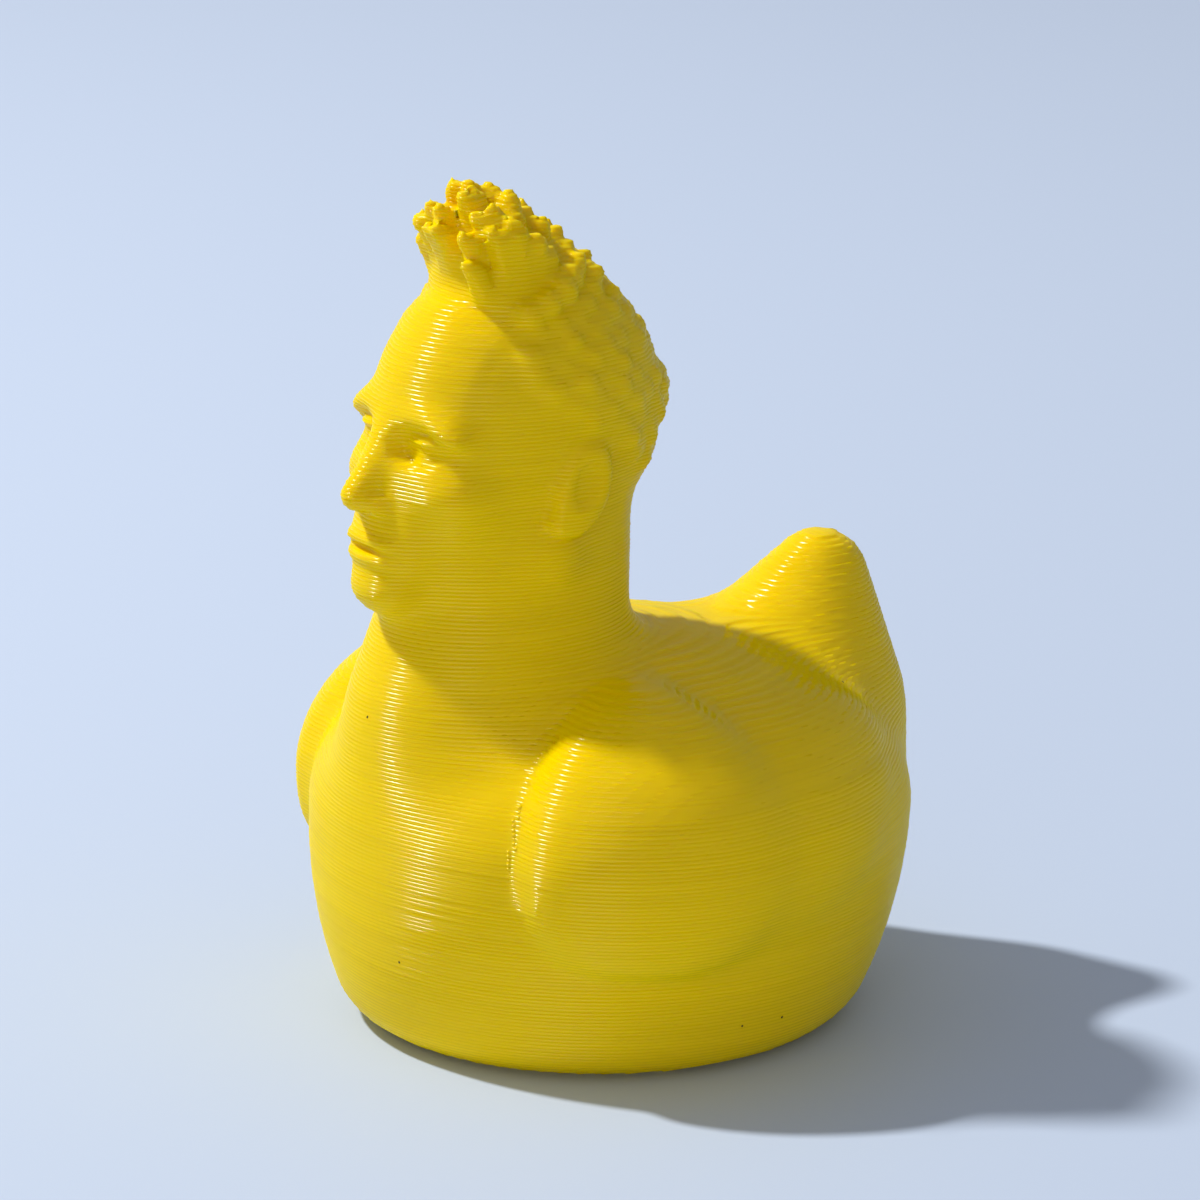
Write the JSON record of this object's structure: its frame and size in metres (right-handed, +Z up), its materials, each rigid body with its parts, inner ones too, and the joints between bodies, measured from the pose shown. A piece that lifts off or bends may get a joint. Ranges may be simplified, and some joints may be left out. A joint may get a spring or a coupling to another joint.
{
  "type": "printed duck figurine with a human head",
  "caption": "Desk figurine printed in one piece: a round bath duck's body, wings and upturned tail, with a human head and short tufted hair, standing on a flat base.",
  "frame": {"origin": "centre of the flat base face", "axes": "+Z up through the head, -Y the way the face looks, +X towards the figurine's left wing"},
  "size_m": [0.0316, 0.0318, 0.043],
  "materials": {
    "printed_plastic": "glossy yellow plastic with fine level print lines"
  },
  "bodies": {
    "root": {"duck_figurine": "printed_plastic"}
  },
  "joints": []
}
